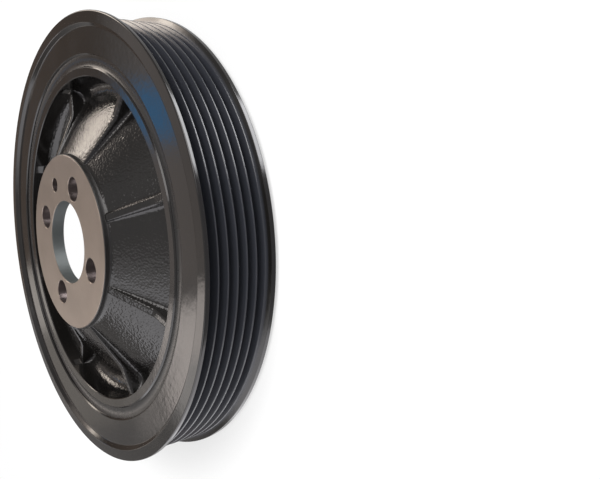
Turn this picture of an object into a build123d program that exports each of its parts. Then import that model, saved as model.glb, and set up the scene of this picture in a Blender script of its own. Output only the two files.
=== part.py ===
"""Harmonic balancer: a torsional vibration damper for the end of a crankshaft.

A ribbed cast-iron hub carries a bonded rubber ring, and the rubber ring carries an outer
inertia ring whose rim is the six-groove belt track. The crankshaft's axis is Z. The
front, with its open dish, stands on Z = 0, and the hub's mounting face looks up.
"""

import os
from math import atan, cos, degrees, hypot, radians, sin, tan

from build123d import *

# ---------------------------------------------------------------- belt track
groove_count = 6
groove_pitch = 3.56
groove_flank_angle = 20.0  # each flank, from the plane square to the axis
groove_root_width = 0.70
ridge_crest_width = 0.50
ridge_radius = 83.0

# ---------------------------------------------------------------- inertia ring
ring_wall = 13.5  # from the bore out to the ridges
ring_bore_chamfer = 0.45
flange_height = 2.0  # above the ridges
flange_thickness = 2.62  # along the axis, at the height of the ridges
flange_lead_angle = 25.0  # inner wall, from the plane square to the axis
flange_edge_round = 0.35
front_pad_height = 1.0  # proud of the front flange
front_rim_width = 6.8  # face of the front flange outside the pad
back_recess_depth = 1.3  # below the back flange
back_rim_width = 5.6  # face of the back flange outside the recess
back_rim_fall = 4.0  # degrees, outwards
step_slope = 45.0  # bevel round the pad and the recess
step_blend = 0.6

# ---------------------------------------------------------------- rubber ring
rubber_thickness = 4.1
rubber_back_recess = 0.6  # below the hub rim's back land
rubber_front_recess = 0.3  # behind the front face
rubber_meniscus = 0.4

# ---------------------------------------------------------------- hub plate
hub_face_radius = 33.1
hub_face_height = 34.8  # mounting face, above the front face
hub_plate_thickness = 5.0
hub_edge_chamfer = 0.4
centre_bore_radius = 15.6
centre_bore_chamfer = 0.3
bolt_count = 4
bolt_hole_radius = 4.5
bolt_bridge = 1.9  # iron left between the bore and each bolt hole
dowel_hole_radius = 2.65
dowel_offset = 1.2  # further from the axis than the bolt holes
boss_shoulder = 1.8  # from the spot face's wall out to the edge of the mounting face
spot_face_depth = 1.6  # where its wall cuts the cone of the dish

# ---------------------------------------------------------------- hub rim and web
rim_land_width = 3.6
rim_back_setback = 0.2  # below the ring's back face
rim_edge_chamfer = 0.5
rim_lip_chamfer = 0.25
dish_wall_depth = 9.4
dish_wall_draft = 17.5
dish_corner_fillet = 2.5
web_thickness = 4.4
valley_wall_draft = 4.0
valley_fillet = 4.6
boss_root_fillet = 2.0

# ---------------------------------------------------------------- ribs
rib_count = 8
rib_turn = -3.0  # from the bolt holes' directions, in degrees
rib_crest_width = 2.4  # level with the mounting face
rib_draft = 2.5
rib_boss_drop = 0.2  # crest at the boss, below the top of its root fillet
rib_knee_inset = 10.8  # the crest's knee, from the rim's inner edge
rib_knee_rise = 3.5  # the knee, above the web
rib_knee_blend = 8.0
rib_rim_drop = 4.0  # crest at the rim, below its back land
rib_root_fillet = 1.2

# ---------------------------------------------------------------- sizes that follow
first_bolt_angle = 180 / bolt_count
track_width = groove_count * groove_pitch
ring_width = track_width + 2 * flange_thickness
back_flange_height = front_pad_height + ring_width
track_middle = front_pad_height + ring_width / 2
flange_radius = ridge_radius + flange_height
ring_bore_radius = ridge_radius - ring_wall
front_pad_radius = flange_radius - front_rim_width
back_recess_radius = flange_radius - back_rim_width
flange_lead = flange_height * tan(radians(flange_lead_angle))
groove_mouth_width = groove_pitch - ridge_crest_width
groove_depth = (groove_mouth_width - groove_root_width) / 2 / tan(radians(groove_flank_angle))
ring_back_height = back_flange_height - back_recess_depth
front_pad_foot_radius = front_pad_radius + front_pad_height / tan(radians(step_slope))
back_recess_rim_radius = back_recess_radius + back_recess_depth / tan(radians(step_slope))
back_edge_height = back_flange_height - (flange_radius - back_recess_rim_radius) * tan(radians(back_rim_fall))

rim_outer_radius = ring_bore_radius - rubber_thickness
rim_inner_radius = rim_outer_radius - rim_land_width
rim_back_height = ring_back_height - rim_back_setback
rubber_back_height = rim_back_height - rubber_back_recess

bolt_circle_radius = centre_bore_radius + bolt_bridge + bolt_hole_radius
dowel_circle_radius = bolt_circle_radius + dowel_offset
spot_face_radius = hub_face_radius - boss_shoulder
plate_front_height = hub_face_height - hub_plate_thickness
spot_face_rim_height = plate_front_height - spot_face_depth
dish_corner_radius = rim_inner_radius - dish_wall_depth * tan(radians(dish_wall_draft))
web_slope = (spot_face_rim_height - dish_wall_depth) / (dish_corner_radius - spot_face_radius)
web_axial_thickness = web_thickness * hypot(1, web_slope)
valley_wall_slope = tan(radians(valley_wall_draft))
pocket_half_angle = 180 / rib_count


def web_back_height(radius):
    """Height of the web's ribbed side, a cone parallel to the dish, at a radius."""
    return spot_face_rim_height + web_axial_thickness - web_slope * (radius - spot_face_radius)


def rim_wall_radius(height):
    """Radius of the rim's drafted inner wall on the ribbed side, at a height."""
    return rim_inner_radius - valley_wall_slope * (rim_back_height - height)


def nearest_corner(section, radius, height):
    """The corner of a turned section that lies nearest to a radius and a height."""
    return section.vertices().sort_by_distance((radius, height))[0]


# The valley's bottom corner is where the web's cone meets the drafted wall of the rim.
valley_radius = (rim_wall_radius(web_back_height(0))) / (1 + valley_wall_slope * web_slope)
valley_height = web_back_height(valley_radius)
boss_root_height = web_back_height(hub_face_radius)
boss_root_angle = (90 - degrees(atan(web_slope))) / 2  # half the turn of the boss's root fillet
boss_root_top = boss_root_height + boss_root_fillet * tan(radians(boss_root_angle))
rib_boss_height = boss_root_top - rib_boss_drop
rib_knee_radius = rim_inner_radius - rib_knee_inset
rib_knee_height = web_back_height(rib_knee_radius) + rib_knee_rise
rib_rim_height = rim_back_height - rib_rim_drop

# ---------------------------------------------------------------- inertia ring
with BuildPart() as pulley_ring:
    with BuildSketch(Plane.XZ) as ring_section:
        with BuildLine() as ring_outline:
            Polyline(
                (ring_bore_radius, 0),
                (front_pad_radius, 0),
                (front_pad_foot_radius, front_pad_height),
                (flange_radius, front_pad_height),
                (flange_radius, back_edge_height),
                (back_recess_rim_radius, back_flange_height),
                (back_recess_radius, ring_back_height),
                (ring_bore_radius, ring_back_height),
                close=True,
            )
        make_face()
        for radius, height in (
            (front_pad_radius, 0),
            (front_pad_foot_radius, front_pad_height),
            (back_recess_rim_radius, back_flange_height),
            (back_recess_radius, ring_back_height),
        ):
            fillet(nearest_corner(ring_section, radius, height), radius=step_blend)
        for height in (front_pad_height, back_edge_height):
            fillet(nearest_corner(ring_section, flange_radius, height), radius=flange_edge_round)
        for height in (0, ring_back_height):
            chamfer(nearest_corner(ring_section, ring_bore_radius, height), length=ring_bore_chamfer)
    revolve(axis=Axis.Z)

    # The belt track is turned down between the two flanges.
    with BuildSketch(Plane.XZ) as track_section:
        with Locations((ridge_radius, track_middle)):
            Polygon(
                (0, -track_width / 2),
                (2 * flange_height, -track_width / 2 - 2 * flange_lead),
                (2 * flange_height, track_width / 2 + 2 * flange_lead),
                (0, track_width / 2),
                align=None,
            )
    revolve(axis=Axis.Z, mode=Mode.SUBTRACT)

    # Each groove is a V with a flat root, cut into the track at the belt's pitch.
    with BuildSketch(Plane.XZ) as groove_sections:
        with Locations((ridge_radius, track_middle)):
            with GridLocations(0, groove_pitch, 1, groove_count):
                Polygon(
                    (-groove_depth, -groove_root_width / 2),
                    (0, -groove_mouth_width / 2),
                    (flange_height, -groove_mouth_width / 2),
                    (flange_height, groove_mouth_width / 2),
                    (0, groove_mouth_width / 2),
                    (-groove_depth, groove_root_width / 2),
                    align=None,
                )
    revolve(axis=Axis.Z, mode=Mode.SUBTRACT)

# ---------------------------------------------------------------- rubber ring
rubber_middle_radius = (rim_outer_radius + ring_bore_radius) / 2

with BuildPart() as rubber_ring:
    with BuildSketch(Plane.XZ) as rubber_section:
        with BuildLine() as rubber_outline:
            hub_side = Line(
                (rim_outer_radius, rubber_front_recess),
                (rim_outer_radius, rubber_back_height),
            )
            ring_side = Line(
                (ring_bore_radius, rubber_front_recess),
                (ring_bore_radius, rubber_back_height),
            )
            ThreePointArc(
                hub_side @ 1,
                (rubber_middle_radius, rubber_back_height - rubber_meniscus),
                ring_side @ 1,
            )
            ThreePointArc(
                hub_side @ 0,
                (rubber_middle_radius, rubber_front_recess + rubber_meniscus),
                ring_side @ 0,
            )
        make_face()
    revolve(axis=Axis.Z)

# ---------------------------------------------------------------- core between two ribs
# The hub is cast round eight equal cores: each is the hollow between two ribs, lying
# along +X, and it is open at the back.
core_top = hub_face_height + boss_root_fillet
core_apex = rib_crest_width / 2 / sin(radians(pocket_half_angle))

with BuildPart() as rib_core:
    with BuildSketch(Plane.XZ) as core_section:
        with BuildLine() as core_outline:
            Polyline(
                (hub_face_radius, core_top),
                (hub_face_radius, boss_root_height),
                (valley_radius, valley_height),
                (rim_wall_radius(core_top), core_top),
                close=True,
            )
        make_face()
        fillet(nearest_corner(core_section, valley_radius, valley_height), radius=valley_fillet)
        fillet(nearest_corner(core_section, hub_face_radius, boss_root_height), radius=boss_root_fillet)
    revolve(axis=Axis.Z)

    # Two drafted planes, the flanks of the neighbouring ribs, cut the core out of the ring.
    for side in (-1, 1):
        flank_plane = Plane(
            origin=(core_apex, 0, hub_face_height),
            z_dir=(
                sin(radians(pocket_half_angle)) * cos(radians(rib_draft)),
                side * cos(radians(pocket_half_angle)) * cos(radians(rib_draft)),
                sin(radians(rib_draft)),
            ),
        )
        split(bisect_by=flank_plane, keep=Keep.TOP)

    flanks = rib_core.faces().filter_by(GeomType.PLANE).sort_by(Axis.Z)[:-1]
    mouth = rib_core.faces().sort_by(Axis.Z)[-1]
    mouth_edge_heights = mouth.edges().group_by(Axis.Z)[-1].sort_by(Axis.Z)[0].center().Z
    rib_root_edges = flanks.edges().filter_by(lambda edge: edge.center().Z < mouth_edge_heights - 0.01)
    fillet(rib_root_edges, radius=rib_root_fillet)

# ---------------------------------------------------------------- hub
with BuildPart() as hub:
    with BuildSketch(Plane.XZ) as hub_section:
        with BuildLine() as hub_outline:
            Polyline(
                (centre_bore_radius, plate_front_height),
                (spot_face_radius, plate_front_height),
                (spot_face_radius, spot_face_rim_height),
                (dish_corner_radius, dish_wall_depth),
                (rim_inner_radius, 0),
                (rim_outer_radius, 0),
                (rim_outer_radius, rim_back_height),
                (rim_inner_radius, rim_back_height),
                (rim_wall_radius(rib_rim_height), rib_rim_height),
                (rib_knee_radius, rib_knee_height),
                (hub_face_radius, rib_boss_height),
                (hub_face_radius, hub_face_height),
                (centre_bore_radius, hub_face_height),
                close=True,
            )
        make_face()
        fillet(nearest_corner(hub_section, dish_corner_radius, dish_wall_depth), radius=dish_corner_fillet)
        fillet(nearest_corner(hub_section, rib_knee_radius, rib_knee_height), radius=rib_knee_blend)
        chamfer(nearest_corner(hub_section, hub_face_radius, hub_face_height), length=hub_edge_chamfer)
        for height in (plate_front_height, hub_face_height):
            chamfer(nearest_corner(hub_section, centre_bore_radius, height), length=centre_bore_chamfer)
        for height in (0, rim_back_height):
            chamfer(nearest_corner(hub_section, rim_outer_radius, height), length=rim_edge_chamfer)
            chamfer(nearest_corner(hub_section, rim_inner_radius, height), length=rim_lip_chamfer)
    revolve(axis=Axis.Z)

    # The cores leave the ribs standing between them.
    with PolarLocations(0, rib_count, start_angle=first_bolt_angle + rib_turn + pocket_half_angle):
        add(rib_core.part, mode=Mode.SUBTRACT)

    with Locations((0, 0, hub_face_height)):
        with PolarLocations(bolt_circle_radius, bolt_count, start_angle=first_bolt_angle):
            Hole(bolt_hole_radius)
        with Locations((0, dowel_circle_radius)):
            Hole(dowel_hole_radius)

# ---------------------------------------------------------------- labels and files
os.makedirs("parts", exist_ok=True)

hub.part.label = "hub"
export_step(hub.part, "parts/hub.step")

rubber_ring.part.label = "rubber_ring"
export_step(rubber_ring.part, "parts/rubber_ring.step")

pulley_ring.part.label = "pulley_ring"
export_step(pulley_ring.part, "parts/pulley_ring.step")
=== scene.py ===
"""Harmonic balancer: finished meshes and materials for its hub, rubber ring and pulley ring.

The part lies on its dish, with the mounting face up. All lengths are in metres.
Every piece is a surface of two parameters: the place along a section and the angle round an axis.
"""

import bpy
import numpy as np
from mathutils.geometry import delaunay_2d_cdt
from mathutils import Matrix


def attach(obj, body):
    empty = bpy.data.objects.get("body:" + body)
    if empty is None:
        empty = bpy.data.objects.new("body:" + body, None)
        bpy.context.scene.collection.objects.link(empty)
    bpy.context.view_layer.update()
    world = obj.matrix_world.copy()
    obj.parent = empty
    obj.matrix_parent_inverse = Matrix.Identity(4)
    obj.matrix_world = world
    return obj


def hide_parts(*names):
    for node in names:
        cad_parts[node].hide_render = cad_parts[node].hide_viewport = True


bl_info = {
    "name": "Harmonic balancer",
    "version": (1, 0, 0),
    "blender": (4, 5, 0),
    "location": "View3D > Sidebar > Balancer",
    "description": "Builds a three-piece harmonic balancer with its studio",
    "category": "Mesh",
}

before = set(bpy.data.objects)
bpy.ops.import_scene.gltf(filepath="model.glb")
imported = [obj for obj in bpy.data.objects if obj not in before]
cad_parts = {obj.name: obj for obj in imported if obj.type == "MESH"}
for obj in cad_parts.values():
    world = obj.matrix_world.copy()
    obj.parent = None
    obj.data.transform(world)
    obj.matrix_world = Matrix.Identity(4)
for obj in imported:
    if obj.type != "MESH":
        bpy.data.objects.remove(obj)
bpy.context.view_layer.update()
MM = 0.001

# ---------------------------------------------------------------- sizes that the pieces share
RIDGE_RADIUS = 83.0 * MM
FLANGE_RADIUS = 85.0 * MM
RING_BORE = 69.5 * MM
RIM_OUTER = 65.4 * MM
RIM_INNER = 61.8 * MM
FRONT_PAD_HEIGHT = 1.0 * MM
BACK_FLANGE_HEIGHT = 27.6 * MM
RING_BACK_HEIGHT = 26.3 * MM
RIM_BACK_HEIGHT = 26.1 * MM
TRACK_MIDDLE = 14.3 * MM
HUB_FACE_HEIGHT = 34.8 * MM
PLATE_FRONT_HEIGHT = 29.8 * MM
SPOT_RADIUS = 31.3 * MM
SPOT_RIM_HEIGHT = 28.2 * MM
DISH_CORNER = (58.836 * MM, 9.4 * MM)
WEB_SLOPE = (SPOT_RIM_HEIGHT - DISH_CORNER[1]) / (DISH_CORNER[0] - SPOT_RADIUS)
WALL_SLOPE = np.tan(np.radians(4.0))
ROUND_STEPS = 5
SAME_POINT = 1e-7  # points closer than this are one
TRIANGLES_INSIDE, CLOSEST = 1, 1e-6  # what the triangulation keeps, and its tolerance


# ---------------------------------------------------------------- surfaces
def rounded_path(corners, radii, steps=ROUND_STEPS, closed=False):
    """Path through corners, each turned into an arc, and the unit normal on its left.

    With n the left normal of the side that comes in, u that side's direction and f the turn,
    the arc's normal is n cos(tf) - u sin(tf) for t from 0 to 1. The arc's centre C lies off the
    corner along the mean normal by radius / cos(f/2), and its points are C -/+ radius x normal.
    """
    corners = np.asarray(corners, float)
    radii = np.asarray(radii, float)[:, None, None]
    sides = np.roll(corners, -1, axis=0) - corners
    sides /= np.linalg.norm(sides, axis=1, keepdims=True)
    before = np.roll(sides, 1, axis=0)
    after = sides.copy()
    if not closed:
        before[0] = after[0]
        after[-1] = before[-1]
    normal_before = np.column_stack([-before[:, 1], before[:, 0]])
    normal_after = np.column_stack([-after[:, 1], after[:, 0]])
    cross = before[:, 0] * after[:, 1] - before[:, 1] * after[:, 0]
    turn = np.arctan2(cross, (before * after).sum(axis=1))[:, None, None]
    mean = normal_before + normal_after
    mean /= np.linalg.norm(mean, axis=1, keepdims=True)
    side = np.sign(turn)
    centre = corners[:, None, :] + side * radii / np.cos(turn / 2) * mean[:, None, :]
    angle = turn * np.linspace(0, 1, steps + 1)[None, :, None]
    normal = normal_before[:, None, :] * np.cos(angle) - before[:, None, :] * np.sin(angle)
    points = (centre - side * radii * normal).reshape(-1, 2)
    normals = normal.reshape(-1, 2)
    keep = np.ones(len(points), bool)
    keep[1:] = np.linalg.norm(np.diff(points, axis=0), axis=1) > SAME_POINT
    return points[keep], normals[keep]


def subdivided(points, longest):
    """The same path with points added evenly along it, none closer than a third of a step."""
    length = np.concatenate([[0], np.cumsum(np.linalg.norm(np.diff(points, axis=0), axis=1))])
    extra = np.arange(longest, length[-1], longest)
    apart = np.abs(extra[:, None] - length[None, :]).min(axis=1)
    places = np.sort(np.concatenate([length, extra[apart > longest / 3]]))
    return np.column_stack([np.interp(places, length, points[:, axis]) for axis in (0, 1)])


def turned(path, normals, angles, centre=(0, 0)):
    """Points (r cos a, r sin a, z) about a centre, and normals, for a path of (r, z).

    The angles are one row for the whole path, or a row for each of its points.
    """
    angles = np.broadcast_to(angles, (len(path), np.shape(angles)[-1]))
    cos, sin = np.cos(angles), np.sin(angles)
    radius, height = path[:, :1], path[:, 1:]
    place = [radius * cos + centre[0], radius * sin + centre[1], height + 0 * cos]
    facing = [normals[:, :1] * cos, normals[:, :1] * sin, normals[:, 1:] + 0 * cos]
    return np.stack(place, axis=-1), np.stack(facing, axis=-1)


def grid_normals(grid):
    """Unit normals of a grid closed round its columns: mean row x mean column direction."""
    along = np.diff(grid, axis=0)
    along /= np.linalg.norm(along, axis=-1, keepdims=True)
    along = np.concatenate([along[:1], along[:-1] + along[1:], along[-1:]])
    around = np.roll(grid, -1, axis=1) - grid
    around /= np.linalg.norm(around, axis=-1, keepdims=True)
    around = around + np.roll(around, 1, axis=1)
    normal = np.cross(along, around)
    return normal / np.linalg.norm(normal, axis=-1, keepdims=True)


def grid_faces(rows, columns, first=0, closed_rows=False):
    """Quads of a grid of vertices closed round its columns, turned to face along its normals."""
    index = first + np.arange(rows * columns).reshape(rows, columns)
    below = np.roll(index, -1, axis=0) if closed_rows else index[1:]
    above = index if closed_rows else index[:-1]
    right = np.roll(above, -1, axis=1), np.roll(below, -1, axis=1)
    return np.stack([above, below, right[1], right[0]], axis=-1).reshape(-1, 4)


def holed_face(vertices, loops, upward):
    """Triangles that fill a flat outline round its holes, on the vertices that are there already.

    loops are rows of vertex numbers, the outline first. Every hole is round, so a triangle with
    all its corners on one hole's loop lies in that hole and is left out.
    """
    numbers = np.concatenate(loops)
    flat = vertices[numbers, :2] / MM
    starts = np.cumsum([0] + [len(loop) for loop in loops])
    edges = []
    for start, loop in zip(starts, loops):
        step = np.arange(len(loop))
        edges += np.column_stack([start + step, start + np.roll(step, -1)]).tolist()
    found = delaunay_2d_cdt(flat.tolist(), edges, [], TRIANGLES_INSIDE, CLOSEST)
    back = np.array([origin[0] for origin in found[3]])
    faces = back[np.array(found[2])]
    owner = np.repeat(np.arange(len(loops)), np.diff(starts))[faces]
    in_hole = (owner == owner[:, :1]).all(axis=1) & (owner[:, 0] > 0)
    faces = numbers[faces[~in_hole]]
    return faces if upward else faces[:, ::-1]


def make_piece(name, vertices, normals, faces, material, node):
    """A smooth mesh with these normals that hides a node of the frame and takes its place on the
    root body.
    """
    mesh = bpy.data.meshes.new(name)
    mesh.from_pydata(vertices.tolist(), [], faces)
    mesh.shade_smooth()
    mesh.normals_split_custom_set_from_vertices(normals.tolist())
    mesh.validate()
    mesh.materials.append(material)
    piece = bpy.data.objects.new(name, mesh)
    bpy.context.scene.collection.objects.link(piece)
    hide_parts(node)
    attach(piece, "root")
    return piece


def make_turned_piece(name, outline, columns, material, node):
    """A closed section turned right round the axis, as a piece that stands for a node."""
    path, normals = outline
    angles = np.linspace(0, 2 * np.pi, columns, endpoint=False)
    vertices, facing = turned(path, normals, angles)
    faces = grid_faces(len(path), columns, closed_rows=True).tolist()
    return make_piece(name, vertices.reshape(-1, 3), facing.reshape(-1, 3), faces, material, node)


# ---------------------------------------------------------------- finishes
ENAMEL_GLOSS, RUBBER_GLOSS = 0.11, 0.26
ENAMEL_WAVE_DEPTH, LATHE_LINE_DEPTH, CAST_SKIN_DEPTH = 0.02 * MM, 0.006 * MM, 0.11 * MM
FLOW_LINE_DEPTH, GRAIN_DEPTH = 0.01 * MM, 0.012 * MM  # on the rubber
# Scales, in waves per metre.
LATHE_LINES, FLOW_LINES = 1500.0, 700.0
DRIFT_SCALE, WAVE_SCALE = 38.0, 420.0  # enamel
GRAIN_SCALE, BLOOM_SCALE = 900.0, 120.0  # rubber
SAND_SCALE, LUMP_SCALE, WIPE_SCALE = 1300.0, 330.0, 55.0  # casting, machined face
SAND_SHARE = 1.1  # of the sand to the lumps


# ---------------------------------------------------------------- shader nodes
def feed(tree, socket, value):
    """Links a socket to another one, or gives it a plain value."""
    if isinstance(value, bpy.types.NodeSocket):
        tree.links.new(value, socket)
    else:
        socket.default_value = value


def node(tree, kind, inputs=(), **settings):
    """A shader node with its settings, and its inputs given as (socket, value or other socket)."""
    made = tree.nodes.new(kind)
    for key, value in settings.items():
        setattr(made, key, value)
    for socket, value in inputs:
        feed(tree, made.inputs[socket], value)
    return made


def calc(tree, operation, *values):
    """The result of a Math node."""
    return node(tree, "ShaderNodeMath", list(enumerate(values)), operation=operation).outputs[0]


def ramp(tree, value, low, high, to_low=0.0, to_high=1.0):
    """A smooth step from one number to another while a value goes from low to high."""
    made = node(
        tree,
        "ShaderNodeMapRange",
        [
            ("Value", value),
            ("From Min", low),
            ("From Max", high),
            ("To Min", to_low),
            ("To Max", to_high),
        ],
        interpolation_type="SMOOTHSTEP",
    )
    return made.outputs["Result"]


def beyond(tree, value, edge):
    """One where a value is past a soft edge, given as its (low, high), and zero before it."""
    return ramp(tree, value, *edge)


def within(tree, value, edge):
    """One where a value is short of a soft edge and zero past it."""
    return calc(tree, "SUBTRACT", 1.0, ramp(tree, value, *edge))


def mix_colour(tree, factor, first, second):
    """Two colours mixed by a factor."""
    made = node(tree, "ShaderNodeMix", data_type="RGBA")
    sockets = [s for s in made.inputs if s.enabled]
    for socket, value in zip(sockets, (factor, first, second)):
        feed(tree, socket, value)
    return next(s for s in made.outputs if s.enabled)


def brightened(tree, colour, times):
    """A colour with its brightness multiplied."""
    inputs = [("Color", colour), ("Value", times)]
    return node(tree, "ShaderNodeHueSaturation", inputs).outputs[0]


def noise(tree, vector, scale, detail=2.0, roughness=0.5):
    """A noise's value at a vector."""
    inputs = [("Vector", vector), ("Scale", scale), ("Detail", detail), ("Roughness", roughness)]
    return node(tree, "ShaderNodeTexNoise", inputs).outputs["Fac"]


def new_group(name, inputs, outputs):
    """A shader node group with named float, colour or vector sockets."""
    tree = bpy.data.node_groups.new(name, "ShaderNodeTree")
    kinds = {"float": "NodeSocketFloat", "colour": "NodeSocketColor", "vector": "NodeSocketVector"}
    for socket, kind in inputs:
        tree.interface.new_socket(name=socket, in_out="INPUT", socket_type=kinds[kind])
    for socket, kind in outputs:
        tree.interface.new_socket(name=socket, in_out="OUTPUT", socket_type=kinds[kind])
    return tree, tree.nodes.new("NodeGroupInput").outputs, tree.nodes.new("NodeGroupOutput").inputs


def use_group(tree, name, inputs):
    """A group placed in a material, with its own values."""
    return node(tree, "ShaderNodeGroup", inputs, node_tree=bpy.data.node_groups[name]).outputs


def radius_and_height(tree, position):
    """Distance from the axis and height, from a position."""
    x, y, z = node(tree, "ShaderNodeSeparateXYZ", [(0, position)]).outputs
    squares = [calc(tree, "MULTIPLY", part, part) for part in (x, y)]
    return calc(tree, "SQRT", calc(tree, "ADD", *squares)), z


def make_lathe_lines():
    """Fine uneven lines round the axis, left by a turning tool: noise that knows only r and z."""
    tree, given, result = new_group(
        "Lathe lines", [("Position", "vector"), ("Lines per metre", "float")], [("Height", "float")]
    )
    radius, height = radius_and_height(tree, given["Position"])
    place = node(tree, "ShaderNodeCombineXYZ", [(0, radius), (1, height)]).outputs[0]
    tree.links.new(noise(tree, place, given["Lines per metre"], 2.0), result["Height"])


def make_enamel():
    """Black enamel: slow drifts of colour and gloss, and the low waves of a sprayed coat."""
    tree, given, result = new_group(
        "Black enamel",
        [("Position", "vector"), ("Colour", "colour"), ("Gloss", "float")],
        [("Colour", "colour"), ("Roughness", "float"), ("Height", "float")],
    )
    drift = noise(tree, given["Position"], DRIFT_SCALE, 3.0)
    waves = noise(tree, given["Position"], WAVE_SCALE, 2.0)
    lighter = brightened(tree, given["Colour"], 1.35)
    colour = mix_colour(tree, ramp(tree, drift, 0.35, 0.7), given["Colour"], lighter)
    rough = calc(tree, "ADD", given["Gloss"], ramp(tree, drift, 0.3, 0.75, -0.02, 0.04))
    tree.links.new(colour, result["Colour"])
    tree.links.new(rough, result["Roughness"])
    tree.links.new(waves, result["Height"])


def empty_material(name):
    """A material with no nodes yet, and its node tree."""
    material = bpy.data.materials.new(name)
    material.use_nodes = True
    material.node_tree.nodes.clear()
    return material, material.node_tree


def new_material(name):
    """A material with a Principled shader on its output. Returns it, its tree and the shader."""
    material, tree = empty_material(name)
    shader = tree.nodes.new("ShaderNodeBsdfPrincipled")
    output = tree.nodes.new("ShaderNodeOutputMaterial")
    tree.links.new(shader.outputs[0], output.inputs["Surface"])
    return material, tree, shader


def wire(tree, shader, **values):
    """Puts values or sockets into the shader's inputs, with spaces for underscores."""
    for key, value in values.items():
        feed(tree, shader.inputs[key.replace("_", " ")], value)


def bump(tree, height, distance, normal=None):
    """A Bump node of a given depth."""
    inputs = [("Height", height), ("Distance", distance), ("Strength", 1.0)]
    if normal is not None:
        inputs.append(("Normal", normal))
    return node(tree, "ShaderNodeBump", inputs).outputs[0]


def coat_and_lines(tree, position, colour, gloss, lines_per_metre):
    """Outputs of the enamel, and the height of the lathe lines, at a position."""
    enamel = [("Position", position), ("Colour", tuple(colour)), ("Gloss", gloss)]
    lines = [("Position", position), ("Lines per metre", lines_per_metre)]
    return use_group(tree, "Black enamel", enamel), use_group(tree, "Lathe lines", lines)["Height"]


def emission(tree):
    """Plain white light."""
    inputs = [("Color", (1, 1, 1, 1)), ("Strength", 1.0)]
    return node(tree, "ShaderNodeEmission", inputs).outputs[0]


def background(tree, colour, strength):
    """A world's light of a given colour and strength."""
    inputs = [("Color", colour), ("Strength", strength)]
    return node(tree, "ShaderNodeBackground", inputs).outputs[0]


def mix_shader(tree, factor, first, second):
    """Two shaders mixed by a factor."""
    inputs = [(0, factor), (1, first), (2, second)]
    return node(tree, "ShaderNodeMixShader", inputs).outputs[0]


def seen_or_through(tree):
    """One for rays from the camera or through glass, and zero for the others."""
    path = node(tree, "ShaderNodeLightPath").outputs
    return calc(tree, "MAXIMUM", path["Is Camera Ray"], path["Is Transmission Ray"])


# ---------------------------------------------------------------- settings
def length(name, description, default):
    """A length with Blender's own units."""
    return bpy.props.FloatProperty(
        name=name,
        description=description,
        default=default,
        unit="LENGTH",
        subtype="DISTANCE",
        precision=5,
    )


def paint(name, description, default):
    """A colour, in linear light."""
    return bpy.props.FloatVectorProperty(
        name=name,
        description=description,
        default=default,
        subtype="COLOR",
        size=4,
        min=0.0,
        max=1.0,
    )


class PulleyRingSettings(bpy.types.PropertyGroup):
    """Sizes and finish of the ring that the belt runs on."""

    groove_pitch: length("Groove pitch", "Distance between neighbouring grooves", 3.56 * MM)
    root_width: length("Root width", "Width of a groove's flat root", 0.70 * MM)
    crest_width: length("Crest width", "Width of a ridge before its edges are rounded", 0.50 * MM)
    enamel: paint("Enamel", "Colour of the coat", (0.0060, 0.0054, 0.0050, 1.0))
    # the track's colour is painted reflection: lighter and bluer than the enamel, for the light its
    # deep grooves lose
    track: paint("Track", "Colour of the thin coat in the grooves", (0.0270, 0.0288, 0.0355, 1.0))


class RubberRingSettings(bpy.types.PropertyGroup):
    """Sizes and finish of the rubber between hub and ring."""

    back_recess: length("Back recess", "How far it lies below the back of the hub's rim", 0.6 * MM)
    front_recess: length("Front recess", "How far it lies inside the front face", 0.3 * MM)
    meniscus: length("Meniscus", "Depth of the hollow in each free face", 0.4 * MM)
    rubber: paint("Rubber", "Colour of the rubber", (0.0055, 0.0053, 0.0052, 1.0))


class HubSettings(bpy.types.PropertyGroup):
    """Sizes and finish of the ribbed hub."""

    face_radius: length("Face radius", "Radius of the mounting face", 33.1 * MM)
    bore_radius: length("Bore radius", "Radius of the bore for the crankshaft's spigot", 15.6 * MM)
    bolt_radius: length("Bolt hole radius", "Radius of the four bolt holes", 4.5 * MM)
    bolt_circle: length("Bolt circle radius", "Distance of the bolt holes from the axis", 22.0 * MM)
    dowel_radius: length("Dowel hole radius", "Radius of the locating pin's hole", 2.65 * MM)
    dowel_circle: length("Dowel circle radius", "Distance of the hole from the axis", 23.2 * MM)
    web_thickness: length("Web thickness", "Thickness of the cone between hub and rim", 4.4 * MM)
    crest_width: length("Rib crest width", "Width of a rib, level with the mounting face", 2.4 * MM)
    crest_round: length("Rib crest round", "Radius of the two edges of a rib's crest", 0.9 * MM)
    rib_root: length("Rib root fillet", "Radius where a rib grows out of the web", 1.7 * MM)
    rib_turn: bpy.props.FloatProperty(
        name="Rib turn",
        description="Angle of the first rib from the X axis",
        default=np.radians(42.0),
        unit="ROTATION",
        subtype="ANGLE",
    )
    enamel: paint("Enamel", "Colour of the coat", (0.0060, 0.0054, 0.0050, 1.0))
    machined: paint("Machined face", "Colour of the bare mounting face", (0.235, 0.190, 0.158, 1.0))
    steel: paint("Bore", "Colour of the bare wall of the bore", (0.100, 0.109, 0.107, 1.0))
    hole_wall: paint("Hole walls", "Colour of the small holes' walls", (0.100, 0.080, 0.076, 1.0))
    spot_face: paint("Spot face", "Colour of the thin coat in the dish", (0.030, 0.033, 0.032, 1.0))


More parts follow.
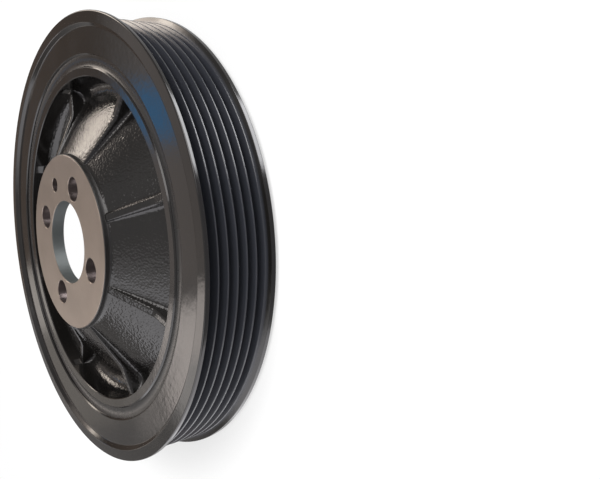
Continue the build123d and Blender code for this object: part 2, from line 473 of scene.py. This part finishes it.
class StageSettings(bpy.types.PropertyGroup):
    """Floor, light and camera."""

    floor_colour: paint("Floor", "Colour of the floor", (0.90, 0.90, 0.90, 1.0))
    room: paint("Room", "Colour that gloss shows between the panels", (0.40, 0.38, 0.37, 1.0))
    fill: bpy.props.FloatProperty(
        name="Fill",
        description="Strength of the even light all round",
        default=0.62,
        subtype="FACTOR",
        min=0,
        max=2,
    )
    lens: bpy.props.FloatProperty(
        name="Lens",
        description="Focal length",
        default=40.0734,
        unit="CAMERA",
        subtype="DISTANCE_CAMERA",
    )
    camera_place: bpy.props.FloatVectorProperty(
        name="Camera place",
        description="Where the camera stands",
        default=(0.242219, -0.064973, 0.130132),
        unit="LENGTH",
        subtype="TRANSLATION",
        precision=6,
    )
    camera_turn: bpy.props.FloatVectorProperty(
        name="Camera turn",
        description="How the camera is turned",
        default=tuple(np.radians((-8.8199, 49.4897, -24.1653))),
        unit="ROTATION",
        subtype="EULER",
    )


# ---------------------------------------------------------------- pulley ring
GROOVE_COUNT = 6
GROOVE_SLOPE = np.tan(np.radians(20.0))  # a groove's flank, from the plane square to the axis
LEAD = 2.0 * MM * np.tan(np.radians(25.0))  # how far a flange's inner wall leans away
BACK_FALL = np.tan(np.radians(4.0))  # of the back flange's outer face
RECESS_FOOT, RECESS_RIM = 79.4 * MM, 80.7 * MM
PAD_EDGE, PAD_FOOT = 78.2 * MM, 79.2 * MM
BORE_EDGE = 0.45 * MM
CREST_ROUND, ROOT_ROUND = 0.3 * MM, 0.42 * MM
# where the track turns duller and takes its painted reflection
TRACK_DULL_AND_SHEEN_EDGE = (10.7 * MM, 11.2 * MM)  # from the track's middle
RING_COLUMNS, RUBBER_COLUMNS = 360, 320


def pulley_ring_outline(settings):
    """Section of the ring, clockwise from the bore's back edge: back, grooves, front, bore."""
    half_track = GROOVE_COUNT / 2 * settings.groove_pitch
    mouth = settings.groove_pitch - settings.crest_width
    depth = (mouth - settings.root_width) / 2 / GROOVE_SLOPE
    places = (GROOVE_COUNT - 1) / 2 - np.arange(GROOVE_COUNT)
    middles = TRACK_MIDDLE + settings.groove_pitch * places
    groove_radius = RIDGE_RADIUS - np.array([0, depth, depth, 0])
    groove_height = np.array([mouth, settings.root_width, -settings.root_width, -mouth]) / 2
    grooves = np.broadcast_arrays(groove_radius, middles[:, None] + groove_height)
    grooves = np.stack(grooves, axis=-1).reshape(-1, 2)
    back = [
        (RING_BORE + BORE_EDGE, RING_BACK_HEIGHT),
        (RECESS_FOOT, RING_BACK_HEIGHT),
        (RECESS_RIM, BACK_FLANGE_HEIGHT),
        (FLANGE_RADIUS, BACK_FLANGE_HEIGHT - (FLANGE_RADIUS - RECESS_RIM) * BACK_FALL),
        (FLANGE_RADIUS, TRACK_MIDDLE + half_track + LEAD),
        (RIDGE_RADIUS, TRACK_MIDDLE + half_track),
    ]
    front = [
        (RIDGE_RADIUS, TRACK_MIDDLE - half_track),
        (FLANGE_RADIUS, TRACK_MIDDLE - half_track - LEAD),
        (FLANGE_RADIUS, FRONT_PAD_HEIGHT),
        (PAD_FOOT, FRONT_PAD_HEIGHT),
        (PAD_EDGE, 0),
        (RING_BORE + BORE_EDGE, 0),
        (RING_BORE, BORE_EDGE),
        (RING_BORE, RING_BACK_HEIGHT - BORE_EDGE),
    ]
    radii = np.concatenate(
        [
            np.array([0.15, 0.6, 0.6, 0.6, 0.25, 0.1]) * MM,
            np.tile([CREST_ROUND, ROOT_ROUND, ROOT_ROUND, CREST_ROUND], GROOVE_COUNT),
            np.array([0.1, 0.25, 0.35, 0.6, 0.6, 0.15, 0.15, 0.15]) * MM,
        ]
    )
    return rounded_path(np.concatenate([back, grooves, front]), radii, steps=4, closed=True)


def make_ring_material(settings):
    """Gloss enamel over turned iron. The belt track is a little duller than the faces, and its
    lighter, bluer colour is painted reflection.
    """
    material, tree, shader = new_material("Ring enamel")
    position = node(tree, "ShaderNodeTexCoord").outputs["Object"]
    coat, lines = coat_and_lines(tree, position, settings.enamel, ENAMEL_GLOSS, LATHE_LINES)
    _, height = radius_and_height(tree, position)
    off_middle = calc(tree, "ABSOLUTE", calc(tree, "SUBTRACT", height, TRACK_MIDDLE))
    # the track: duller, and a lighter, bluer colour that is painted reflection
    track = ramp(tree, off_middle, *TRACK_DULL_AND_SHEEN_EDGE, 1.0, 0.0)
    waves = bump(tree, coat["Height"], ENAMEL_WAVE_DEPTH)
    wire(
        tree,
        shader,
        Base_Color=mix_colour(tree, track, coat["Colour"], tuple(settings.track)),
        Roughness=calc(tree, "ADD", coat["Roughness"], calc(tree, "MULTIPLY", track, 0.10)),
        Metallic=0.0,
        Normal=bump(tree, lines, LATHE_LINE_DEPTH, waves),
    )
    return material


class BALANCER_OT_pulley_ring(bpy.types.Operator):
    """Make the pulley ring"""

    bl_idname = "balancer.pulley_ring"
    bl_label = "Pulley ring"

    def execute(self, context):
        """Turns the section round the axis."""
        settings = context.scene.balancer_pulley_ring
        outline, material = pulley_ring_outline(settings), make_ring_material(settings)
        columns = RING_COLUMNS
        piece = make_turned_piece("pulley_ring_body", outline, columns, material, "pulley_ring")
        return {"FINISHED"}


# ---------------------------------------------------------------- rubber ring
def rubber_ring_outline(settings):
    """Section of the rubber, clockwise: each free face is a shallow hollow, a parabola."""
    back = RIM_BACK_HEIGHT - settings.back_recess
    across = np.linspace(0, 1, 13)
    radius = RIM_OUTER + (RING_BORE - RIM_OUTER) * across
    hollow = 4 * settings.meniscus * across * (1 - across)
    tilt = 4 * settings.meniscus * (1 - 2 * across) / (RING_BORE - RIM_OUTER)
    top = np.column_stack([radius, back - hollow])
    bottom = np.column_stack([radius, settings.front_recess + hollow])[::-1]
    scale = np.sqrt(1 + tilt**2)
    top_normals = np.column_stack([tilt / scale, 1 / scale])
    bottom_normals = np.column_stack([tilt / scale, -1 / scale])[::-1]
    return np.concatenate([top, bottom]), np.concatenate([top_normals, bottom_normals])


def make_rubber_material(settings):
    """Moulded rubber under the same enamel, a little duller, with faint flow lines."""
    material, tree, shader = new_material("Bonded rubber")
    position = node(tree, "ShaderNodeTexCoord").outputs["Object"]
    coat, lines = coat_and_lines(tree, position, settings.rubber, RUBBER_GLOSS, FLOW_LINES)
    grain = noise(tree, position, GRAIN_SCALE, 3.0)
    bloom = ramp(tree, noise(tree, position, BLOOM_SCALE, 4.0), 0.4, 0.75)
    wire(
        tree,
        shader,
        Base_Color=mix_colour(tree, bloom, coat["Colour"], brightened(tree, coat["Colour"], 1.4)),
        Roughness=calc(tree, "ADD", coat["Roughness"], calc(tree, "MULTIPLY", bloom, 0.05)),
        Normal=bump(tree, lines, FLOW_LINE_DEPTH, bump(tree, grain, GRAIN_DEPTH)),
    )
    return material


class BALANCER_OT_rubber_ring(bpy.types.Operator):
    """Make the rubber ring"""

    bl_idname = "balancer.rubber_ring"
    bl_label = "Rubber ring"

    def execute(self, context):
        """Turns the section round the axis."""
        settings = context.scene.balancer_rubber_ring
        outline, material = rubber_ring_outline(settings), make_rubber_material(settings)
        columns = RUBBER_COLUMNS
        piece = make_turned_piece("rubber_ring_body", outline, columns, material, "rubber_ring")
        return {"FINISHED"}


# ---------------------------------------------------------------- hub
RIB_COUNT = 8
RIB_DRAFT = np.tan(np.radians(2.5))
RIB_RIM_HEIGHT = 22.1 * MM  # of a rib's crest where it meets the rim
RIB_BOSS_DROP = 0.2 * MM  # of a rib's crest at the boss, below the top of the boss's root fillet
KNEE_RADIUS, KNEE_RISE, KNEE_BLEND = 51.0 * MM, 3.5 * MM, 8.0 * MM
BOSS_ROOT, VALLEY_ROUND = 2.0 * MM, 4.6 * MM
LONGEST_ROW = 1.3 * MM
HALF_COLUMNS = {"crest": 2, "round": 4, "flank": 3, "root": 5, "floor": 8}
WEB_MIDDLE = 2.6 * MM  # inside the web, above the dish's cone
ROUNDS_SHARE = 0.9  # of a low rib's height, that its crest and root rounds may take up
LEAST_SPREAD = 0.25  # share of their width that the rounds keep where the rib has died away
FOOT_SPREAD = 0.15 * MM  # how far its foot moves out there
BORE_COLUMNS, BOLT_COLUMNS, DOWEL_COLUMNS = 128, 56, 40
BORE_CHAMFER, HOLE_CHAMFER = 0.3 * MM, 0.25 * MM
BOLT_ANGLES = np.radians(45 + 90 * np.arange(4))
# Soft edges of the finishes: radii from the axis, or heights.
FACE_EDGE, FACE_LEVEL = (32.75 * MM, 32.95 * MM), (34.5 * MM, 34.7 * MM)
SPOT_EDGE, SPOT_LEVEL = (30.7 * MM, 31.1 * MM), (29.82 * MM, 29.9 * MM)
BORE_WALL_EDGE, HOLES_EDGE = (16.2 * MM, 16.6 * MM), (28.0 * MM, 28.3 * MM)
BOSS_WALL_EDGES = (32.8 * MM, 32.95 * MM), (33.13 * MM, 33.4 * MM)
SKIN_EDGES = (33.15 * MM, 33.6 * MM), (61.2 * MM, 61.6 * MM)


def web_back_height(settings, radius):
    """Height of the web's back, a cone parallel to the dish."""
    thickness = settings.web_thickness * np.hypot(1, WEB_SLOPE)
    return SPOT_RIM_HEIGHT + thickness - WEB_SLOPE * (radius - SPOT_RADIUS)


def rim_wall_radius(height):
    """Radius of the rim's drafted inner wall at a height."""
    return RIM_INNER - WALL_SLOPE * (RIM_BACK_HEIGHT - height)


def web_rows(settings):
    """Rows (radius, floor height, crest height) across the web, from the boss to the rim's wall."""
    boss_radius = settings.face_radius
    root_turn = (np.pi / 2 - np.arctan(WEB_SLOPE)) / 2
    root_top = web_back_height(settings, boss_radius) + BOSS_ROOT * np.tan(root_turn)
    valley_radius = rim_wall_radius(web_back_height(settings, 0)) / (1 + WALL_SLOPE * WEB_SLOPE)
    end = (rim_wall_radius(RIB_RIM_HEIGHT), RIB_RIM_HEIGHT)
    floor, _ = rounded_path(
        [
            (boss_radius, root_top + RIB_BOSS_DROP),
            (boss_radius, web_back_height(settings, boss_radius)),
            (valley_radius, web_back_height(settings, valley_radius)),
            end,
        ],
        [0, BOSS_ROOT, VALLEY_ROUND, 0],
        steps=14,
    )
    floor = subdivided(floor, LONGEST_ROW)
    knee = (KNEE_RADIUS, web_back_height(settings, KNEE_RADIUS) + KNEE_RISE)
    boss = (boss_radius, root_top - RIB_BOSS_DROP)
    crest, _ = rounded_path([boss, knee, end], [0, KNEE_BLEND, 0], steps=16)
    return floor[:, :1], floor[:, 1:], np.interp(floor[:, :1], crest[:, 0], crest[:, 1])


def rib_section(settings, radius, floor, crest):
    """Half a rib and half a pocket at each radius: (distance from the rib's plane, height).

    Going outwards from the rib's middle: flat crest, round of radius a, flank drafted by d, root
    arc of radius b, web. An arc touches the flank where its own angle is d. Both radii shrink to
    nothing where the rib does.
    """
    draft = np.arctan(RIB_DRAFT)
    tall = np.clip(crest - floor, 0, None)
    share = np.clip(ROUNDS_SHARE * tall / (settings.crest_round + settings.rib_root), 0, 1)
    spread = np.maximum(share, LEAST_SPREAD)
    crest = floor + tall
    edge_high, root_high = settings.crest_round * share, settings.rib_root * share
    edge_wide, root_wide = settings.crest_round * spread, settings.rib_root * spread

    def flank(height):
        """Distance of the drafted flank from the rib's plane."""
        return settings.crest_width / 2 + RIB_DRAFT * (HUB_FACE_HEIGHT - height)

    edge_centre = flank(crest - edge_high * (1 - np.sin(draft))) - edge_wide * np.cos(draft)
    root_centre = flank(floor + root_high * (1 - np.sin(draft))) + root_wide * np.cos(draft)
    root_centre += FOOT_SPREAD * (1 - share)
    count = HALF_COLUMNS
    turn = np.linspace(np.pi / 2, draft, count["round"] + 1)[None, :]
    back_turn = np.linspace(np.pi + draft, 1.5 * np.pi, count["root"] + 1)[None, :]
    crest_d = edge_centre * np.linspace(0, 1, count["crest"] + 1)[None, :-1]
    round_d = edge_centre + edge_wide * np.cos(turn)
    round_z = crest - edge_high + edge_high * np.sin(turn)
    root_d = root_centre + root_wide * np.cos(back_turn)
    root_z = floor + root_high + root_high * np.sin(back_turn)
    along = np.linspace(0, 1, count["flank"] + 1)[None, 1:-1]
    flank_d = round_d[:, -1:] + (root_d[:, :1] - round_d[:, -1:]) * along
    flank_z = round_z[:, -1:] + (root_z[:, :1] - round_z[:, -1:]) * along
    wide = radius * np.sin(np.pi / RIB_COUNT)
    across = np.linspace(0, 1, count["floor"] + 1)[None, 1:]
    floor_d = root_d[:, -1:] + (wide - root_d[:, -1:]) * across
    crest_z, floor_z = crest + 0 * crest_d, floor + 0 * floor_d
    distance = np.concatenate([crest_d, round_d, flank_d, root_d, floor_d], axis=1)
    height = np.concatenate([crest_z, round_z, flank_z, root_z, floor_z], axis=1)
    return distance, height


def hub_grid(settings):
    """The hub's turned and ribbed surface, from the mounting face's edge round to the spot face.

    On the web a column keeps its place on the rib's section, so its angle is the rib's own plus or
    minus asin(distance / radius). Rows above take the first web row's angles, rows below blend back
    to them. Returns the grid's vertices and normals.
    """
    radius, floor, crest = web_rows(settings)
    distance, height = rib_section(settings, radius, floor, crest)
    half = np.arcsin(distance / radius)
    one_angle = np.concatenate([-half[:, -2:0:-1], half], axis=1)
    one_height = np.concatenate([height[:, -2:0:-1], height], axis=1)
    turns = settings.rib_turn + np.arange(RIB_COUNT) * 2 * np.pi / RIB_COUNT
    angles = np.concatenate([one_angle + turn for turn in turns], axis=1)
    heights = np.tile(one_height, (1, RIB_COUNT))
    web = np.stack([radius * np.cos(angles), radius * np.sin(angles), heights], axis=-1)

    top = HUB_FACE_HEIGHT
    edge, rim_edge, lip = 0.4 * MM, 0.5 * MM, 0.25 * MM
    boss, boss_normals = rounded_path(
        [
            (settings.face_radius - 2 * edge, top),
            (settings.face_radius - edge, top),
            (settings.face_radius, top - edge),
            (settings.face_radius, floor[0, 0] + 0.1 * MM),
        ],
        [0, 0.15 * MM, 0.15 * MM, 0],
    )
    dish_wall = (RIM_INNER - lip * (RIM_INNER - DISH_CORNER[0]) / DISH_CORNER[1], lip)
    rim, rim_normals = rounded_path(
        [
            (radius[-1, 0], floor[-1, 0]),
            (rim_wall_radius(RIM_BACK_HEIGHT - lip), RIM_BACK_HEIGHT - lip),
            (RIM_INNER + lip, RIM_BACK_HEIGHT),
            (RIM_OUTER - rim_edge, RIM_BACK_HEIGHT),
            (RIM_OUTER, RIM_BACK_HEIGHT - rim_edge),
            (RIM_OUTER, rim_edge),
            (RIM_OUTER - rim_edge, 0),
            (RIM_INNER + lip, 0),
            dish_wall,
            DISH_CORNER,
            (SPOT_RADIUS, SPOT_RIM_HEIGHT),
            (SPOT_RADIUS, PLATE_FRONT_HEIGHT),
            (SPOT_RADIUS - 1.0 * MM, PLATE_FRONT_HEIGHT),
        ],
        np.array([0, 0.1, 0.1, 0.15, 0.15, 0.15, 0.15, 0.1, 0.1, 2.5, 0.35, 0.4, 0]) * MM,
        steps=8,
    )
    rim, rim_normals = rim[1:], rim_normals[1:]
    back = np.linspace(0, 1, len(rim))[:, None]
    rim_angles = angles[-1] * (1 - back) + angles[0] * back
    boss_grid, boss_facing = turned(boss, boss_normals, angles[0])
    rim_grid, rim_facing = turned(rim, rim_normals, rim_angles)
    grid = np.concatenate([boss_grid, web, rim_grid])
    facing = grid_normals(grid)
    facing[: len(boss)] = boss_facing
    facing[-len(rim) :] = rim_facing
    return grid, facing


def hole_tube(radius, centre, columns, chamfer):
    """The wall of a hole through the plate, from the spot face up, with both its edges broken."""
    low, high = PLATE_FRONT_HEIGHT, HUB_FACE_HEIGHT
    margin = 0.3 * MM
    path, normals = rounded_path(
        [
            (radius + chamfer + margin, low),
            (radius + chamfer, low),
            (radius, low + chamfer),
            (radius, high - chamfer),
            (radius + chamfer, high),
            (radius + chamfer + margin, high),
        ],
        np.array([0, 0.15, 0.15, 0.15, 0.15, 0]) * MM,
        steps=3,
    )
    angles = np.linspace(0, 2 * np.pi, columns, endpoint=False)
    return turned(path, normals, angles, centre)


def hub_mesh(settings):
    """Vertices, normals and faces of the hub: its grid, six tubes and two flat holed faces."""
    grid, facing = hub_grid(settings)
    # Each hole: x and y of its middle, radius, columns round it, chamfer.
    holes = [(0.0, 0.0, settings.bore_radius, BORE_COLUMNS, BORE_CHAMFER)]
    for angle in BOLT_ANGLES:
        x, y = settings.bolt_circle * np.cos(angle), settings.bolt_circle * np.sin(angle)
        holes.append((x, y, settings.bolt_radius, BOLT_COLUMNS, HOLE_CHAMFER))
    dowel = (0.0, settings.dowel_circle, settings.dowel_radius, DOWEL_COLUMNS, HOLE_CHAMFER)
    holes.append(dowel)
    vertices, normals = [grid.reshape(-1, 3)], [facing.reshape(-1, 3)]
    faces = [grid_faces(*grid.shape[:2])]
    count = grid.shape[0] * grid.shape[1]
    columns = grid.shape[1]
    top_loops, low_loops = [np.arange(columns)], [np.arange(count - columns, count)]
    for x, y, radius, around, chamfer in holes:
        tube, tube_facing = hole_tube(radius, (x, y), around, chamfer)
        vertices.append(tube.reshape(-1, 3))
        normals.append(tube_facing.reshape(-1, 3))
        faces.append(grid_faces(*tube.shape[:2], first=count))
        low_loops.append(count + np.arange(around))
        count += tube.shape[0] * around
        top_loops.append(count - around + np.arange(around))
    vertices = np.concatenate(vertices)
    quads = np.concatenate(faces).tolist()
    top = holed_face(vertices, top_loops, upward=True).tolist()
    low = holed_face(vertices, low_loops, upward=False).tolist()
    return vertices, np.concatenate(normals), quads + top + low


def hub_masks(tree, position):
    """Masks of the hub's finishes by name, from radius and height alone."""
    radius, height = radius_and_height(tree, position)
    middle = SPOT_RIM_HEIGHT + WEB_MIDDLE + WEB_SLOPE * SPOT_RADIUS
    middle = calc(tree, "MULTIPLY_ADD", radius, -WEB_SLOPE, middle)
    behind = beyond(tree, calc(tree, "SUBTRACT", height, middle), (0.0, 1.0 * MM))

    def both(first, second):
        """Where two masks overlap."""
        return calc(tree, "MULTIPLY", first, second)

    face = both(within(tree, radius, FACE_EDGE), beyond(tree, height, FACE_LEVEL))
    plate = both(calc(tree, "SUBTRACT", 1.0, face), beyond(tree, height, SPOT_LEVEL))
    bore = both(plate, within(tree, radius, BORE_WALL_EDGE))
    boss_in, boss_out = [beyond(tree, radius, edge) for edge in BOSS_WALL_EDGES]
    skin = both(beyond(tree, radius, SKIN_EDGES[0]), within(tree, radius, SKIN_EDGES[1]))
    return {
        "spot": ramp(tree, radius, *SPOT_EDGE, 1.0, 0.0),
        "wall": both(calc(tree, "SUBTRACT", boss_in, boss_out), behind),
        "bore": bore,
        "holes": calc(tree, "SUBTRACT", both(plate, within(tree, radius, HOLES_EDGE)), bore),
        "face": face,
        "skin": both(skin, behind),
    }


def make_hub_material(settings):
    """Enamel over a rough casting, a bare mounting face and bore, and a thinly coated spot face."""
    material, tree, shader = new_material("Hub casting")
    position = node(tree, "ShaderNodeTexCoord").outputs["Object"]
    coat, lines = coat_and_lines(tree, position, settings.enamel, ENAMEL_GLOSS, LATHE_LINES)
    masks = hub_masks(tree, position)
    skin = masks["skin"]

    wiped = ramp(tree, noise(tree, position, WIPE_SCALE, 4.0, 0.6), 0.35, 0.7)
    machined = tuple(settings.machined)
    machined = mix_colour(tree, wiped, machined, brightened(tree, machined, 0.86))
    colour = coat["Colour"]
    rough = calc(tree, "ADD", coat["Roughness"], calc(tree, "MULTIPLY", skin, 0.02))
    # Each finish: its mask, its colour where it has one of its own, its roughness.
    for name, paint_colour, value in (
        ("spot", tuple(settings.spot_face), 0.42),
        ("wall", None, 0.50),
        ("bore", tuple(settings.steel), 0.52),
        ("holes", tuple(settings.hole_wall), 0.28),
        ("face", machined, 0.37),
    ):
        if paint_colour is not None:
            colour = mix_colour(tree, masks[name], colour, paint_colour)
        away = calc(tree, "SUBTRACT", value, rough)
        rough = calc(tree, "ADD", rough, calc(tree, "MULTIPLY", masks[name], away))
    metal = calc(tree, "MULTIPLY", calc(tree, "ADD", masks["bore"], masks["holes"]), 0.7)
    metal = calc(tree, "ADD", metal, calc(tree, "MULTIPLY", masks["face"], 0.6))

    sand = noise(tree, position, SAND_SCALE, 0.5, 0.5)
    lumps = noise(tree, position, LUMP_SCALE, 3.0, 0.55)
    cast = calc(tree, "ADD", calc(tree, "MULTIPLY", sand, SAND_SHARE), lumps)
    waves = bump(tree, coat["Height"], ENAMEL_WAVE_DEPTH)
    cast = bump(tree, calc(tree, "MULTIPLY", skin, cast), CAST_SKIN_DEPTH, waves)
    lines = calc(tree, "MULTIPLY", lines, calc(tree, "SUBTRACT", 1.0, skin))
    wire(
        tree,
        shader,
        Base_Color=colour,
        Roughness=rough,
        Metallic=metal,
        Normal=bump(tree, lines, LATHE_LINE_DEPTH, cast),
    )
    return material


class BALANCER_OT_hub(bpy.types.Operator):
    """Make the ribbed hub"""

    bl_idname = "balancer.hub"
    bl_label = "Hub"

    def execute(self, context):
        """Builds the hub's surface."""
        settings = context.scene.balancer_hub
        vertices, normals, faces = hub_mesh(settings)
        piece = make_piece("hub_body", vertices, normals, faces, make_hub_material(settings), "hub")
        return {"FINISHED"}


# ---------------------------------------------------------------- stage
FLOOR_REACH, FLOOR_HEIGHT = 4.0, -0.0002
SHADOW_RADII = (0.09, 0.30)  # where the floor's shadow starts and has ended fading
SHADOW_WHITE = 0.55  # share of white where the shadow is at its fullest
OPEN_RADII = (0.060, 0.064)  # the floor under the part is white inside these
CARD_RADIUS, CARD_DROP, CARD_CORNERS = 17.0 * MM, 0.25 * MM, 96
LAMPS = (  # name, place, size, power
    ("overhead", (0.45, 0.35, 0.75), 0.7, 8.0),
    ("side", (-0.05, -0.75, 0.45), 0.5, 3.0),
)
# What gloss sees of the studio. In degrees: azimuth and elevation of a panel's middle, half its
# width, half its height, softness of its edges. Then its colour. Later panels cover earlier ones.
PANELS = (
    (0.0, -90.0, 180.0, 70.0, 12.0, (0.80, 0.79, 0.79)),  # floor
    (-22.0, 0.0, 40.0, 60.0, 14.0, (0.52, 0.51, 0.54)),  # grey wall
    (0.0, 90.0, 180.0, 30.0, 12.0, (0.62, 0.60, 0.60)),  # ceiling
    (-108.0, 62.0, 29.0, 12.0, 9.0, (1.15, 1.12, 1.12)),  # top of the pale wall
    (-108.0, 8.0, 29.0, 50.0, 9.0, (2.40, 2.36, 2.44)),  # pale wall
    (32.0, 28.0, 14.0, 32.0, 8.0, (4.30, 4.15, 4.10)),  # tall soft box
    (34.0, -24.0, 16.0, 20.0, 8.0, (10.2, 10.2, 10.5)),  # its lower half
    (123.0, 17.0, 9.0, 12.0, 4.0, (3.60, 3.16, 2.78)),  # warm lamp
    (119.5, 41.0, 5.5, 9.0, 4.0, (1.50, 1.34, 1.22)),  # its shade
    (124.0, 23.5, 6.0, 3.0, 2.0, (8.40, 7.50, 6.60)),  # its tube
    (154.0, 37.0, 15.0, 8.5, 3.0, (0.70, 0.62, 0.58)),  # shelf
    (153.7, 28.4, 1.4, 0.8, 2.2, (0.15, 0.82, 1.75)),  # blue screen
    (154.0, 6.0, 14.0, 17.5, 3.0, (0.22, 0.17, 0.14)),  # dark doorway
    (174.0, 19.0, 6.0, 4.5, 2.0, (0.62, 0.57, 0.52)),  # pale strip
    (169.5, 17.0, 2.0, 3.0, 1.2, (1.40, 1.30, 1.20)),  # bright end of the strip
    (178.0, 36.0, 5.0, 8.4, 1.6, (3.40, 3.08, 2.90)),  # window
    (188.0, 39.0, 6.0, 7.0, 2.5, (2.20, 2.10, 2.02)),  # curtain beside it
)


def make_world(settings):
    """Even light, white behind the part, and for gloss a room of soft panels."""
    world = bpy.data.worlds.new("Studio")
    bpy.context.scene.world = world
    world.cycles.sampling_method = "NONE"
    world.use_nodes = True
    tree = world.node_tree
    tree.nodes.clear()
    direction = node(tree, "ShaderNodeTexCoord").outputs["Generated"]
    parts = node(tree, "ShaderNodeSeparateXYZ", [(0, direction)]).outputs
    azimuth = calc(tree, "ARCTAN2", parts[1], parts[0])
    elevation = calc(tree, "ARCSINE", parts[2])

    def band(angle, middle, half, edge):
        """One inside a band of angles and zero outside it."""
        away = calc(tree, "WRAP", calc(tree, "SUBTRACT", angle, middle), np.pi, -np.pi)
        return ramp(tree, calc(tree, "ABSOLUTE", away), half, half + edge, 1.0, 0.0)

    room = tuple(settings.room)
    for *place, colour in PANELS:
        across, up, wide, tall, edge = np.radians(place)
        columns, rows = band(azimuth, across, wide, edge), band(elevation, up, tall, edge)
        room = mix_colour(tree, calc(tree, "MULTIPLY", columns, rows), room, (*colour, 1.0))
    white = (1, 1, 1, 1)
    glossy = node(tree, "ShaderNodeLightPath").outputs["Is Glossy Ray"]
    light = background(tree, white, settings.fill)
    light = mix_shader(tree, glossy, light, background(tree, room, 1.0))
    light = mix_shader(tree, seen_or_through(tree), light, background(tree, white, 1.0))
    node(tree, "ShaderNodeOutputWorld", [("Surface", light)])


def stage_sheet(name, corners, material):
    """A flat face of the stage with one material, left unplaced. Returns its object."""
    mesh = bpy.data.meshes.new(name)
    mesh.from_pydata(corners, [], [tuple(range(len(corners)))])
    mesh.materials.append(material)
    sheet = bpy.data.objects.new(name, mesh)
    bpy.context.scene.collection.objects.link(sheet)
    return sheet


def clear_from_below(tree, shader):
    """Puts a shader on the output, on the upper side alone."""
    below = node(tree, "ShaderNodeNewGeometry").outputs["Backfacing"]
    open_air = node(tree, "ShaderNodeBsdfTransparent").outputs[0]
    shown = mix_shader(tree, below, shader, open_air)
    node(tree, "ShaderNodeOutputMaterial", [("Surface", shown)])


def make_floor(settings):
    """A pale floor that stays white to the eye, keeps a faint shadow and is clear from below."""
    material, tree = empty_material("Pale floor")
    position = node(tree, "ShaderNodeTexCoord").outputs["Object"]
    radius, _ = radius_and_height(tree, position)
    colour = tuple(settings.floor_colour)
    matte = node(tree, "ShaderNodeBsdfDiffuse", [("Color", colour)]).outputs[0]
    around = ramp(tree, radius, *SHADOW_RADII, SHADOW_WHITE, 1.0)
    white = calc(tree, "MAXIMUM", around, within(tree, radius, OPEN_RADII))
    white = calc(tree, "MULTIPLY", seen_or_through(tree), white)
    clear_from_below(tree, mix_shader(tree, white, matte, emission(tree)))
    reach, height = FLOOR_REACH, FLOOR_HEIGHT
    corners = [(-reach, -reach), (reach, -reach), (reach, reach), (-reach, reach)]
    floor = stage_sheet("floor", [(x, y, height) for x, y in corners], material)
    floor.visible_diffuse = False
    floor.visible_glossy = False


def make_card(radius, height):
    """A white disc just under the bore. Only the camera sees it, and only from above."""
    material, tree = empty_material("White card")
    clear_from_below(tree, emission(tree))
    angles = np.linspace(0, 2 * np.pi, CARD_CORNERS, endpoint=False)
    rim = [(radius * np.cos(angle), radius * np.sin(angle), height) for angle in angles]
    card = stage_sheet("card", rim, material)
    for flag in ("visible_diffuse", "visible_glossy", "visible_transmission", "visible_shadow"):
        setattr(card, flag, False)


def make_lamp(name, place, size, power):
    """A square soft lamp that points at the part."""
    light = bpy.data.lights.new(name, "AREA")
    light.shape = "SQUARE"
    light.size = size
    light.energy = power
    lamp = bpy.data.objects.new(name, light)
    bpy.context.scene.collection.objects.link(lamp)
    lamp.location = place
    x, y, z = -np.asarray(place)
    lamp.rotation_euler = (np.arctan2(np.hypot(x, y), -z), 0, np.arctan2(y, x) - np.pi / 2)
    lamp.visible_glossy = False


def make_camera(settings):
    """The camera, rolled so that the part's axis lies across the picture."""
    data = bpy.data.cameras.new("camera")
    data.lens = settings.lens
    data.sensor_width = 36.0  # millimetres
    data.clip_start = 5.0 * MM
    camera = bpy.data.objects.new("camera", data)
    bpy.context.scene.collection.objects.link(camera)
    camera.location = settings.camera_place
    camera.rotation_euler = settings.camera_turn
    bpy.context.scene.camera = camera


class BALANCER_OT_stage(bpy.types.Operator):
    """Make the floor, the light and the camera"""

    bl_idname = "balancer.stage"
    bl_label = "Stage"

    def execute(self, context):
        """Sets the plain studio."""
        settings = context.scene.balancer_stage
        context.scene.view_settings.view_transform = "Standard"
        make_world(settings)
        make_floor(settings)
        make_card(CARD_RADIUS, PLATE_FRONT_HEIGHT - CARD_DROP)
        for lamp in LAMPS:
            make_lamp(*lamp)
        make_camera(settings)
        return {"FINISHED"}


# ---------------------------------------------------------------- sidebar
class BALANCER_PT_panel(bpy.types.Panel):
    """The pieces and the stage in the sidebar."""

    bl_idname = "BALANCER_PT_panel"
    bl_label = "Harmonic balancer"
    bl_space_type = "VIEW_3D"
    bl_region_type = "UI"
    bl_category = "Balancer"

    def draw(self, context):
        """One button for each operator, with its settings below."""
        for operator, settings in PIECES:
            self.layout.operator(operator.bl_idname)
            group = getattr(context.scene, settings)
            for key in group.bl_rna.properties.keys():
                if key not in ("rna_type", "name"):
                    self.layout.prop(group, key)


PIECES = (
    (BALANCER_OT_pulley_ring, "balancer_pulley_ring"),
    (BALANCER_OT_rubber_ring, "balancer_rubber_ring"),
    (BALANCER_OT_hub, "balancer_hub"),
    (BALANCER_OT_stage, "balancer_stage"),
)
GROUPS = (PulleyRingSettings, RubberRingSettings, HubSettings, StageSettings)


def register():
    """Registers the classes and hangs each group of settings on the scene."""
    for group, (operator, settings) in zip(GROUPS, PIECES):
        bpy.utils.register_class(group)
        bpy.utils.register_class(operator)
        setattr(bpy.types.Scene, settings, bpy.props.PointerProperty(type=group))
    bpy.utils.register_class(BALANCER_PT_panel)


def unregister():
    """Takes it all away again."""
    bpy.utils.unregister_class(BALANCER_PT_panel)
    for group, (operator, settings) in zip(GROUPS, PIECES):
        delattr(bpy.types.Scene, settings)
        bpy.utils.unregister_class(operator)
        bpy.utils.unregister_class(group)


def main():
    """Builds everything."""
    register()
    make_lathe_lines()
    make_enamel()
    bpy.ops.balancer.pulley_ring()
    bpy.ops.balancer.rubber_ring()
    bpy.ops.balancer.hub()
    bpy.ops.balancer.stage()


if __name__ == "__main__":
    main()
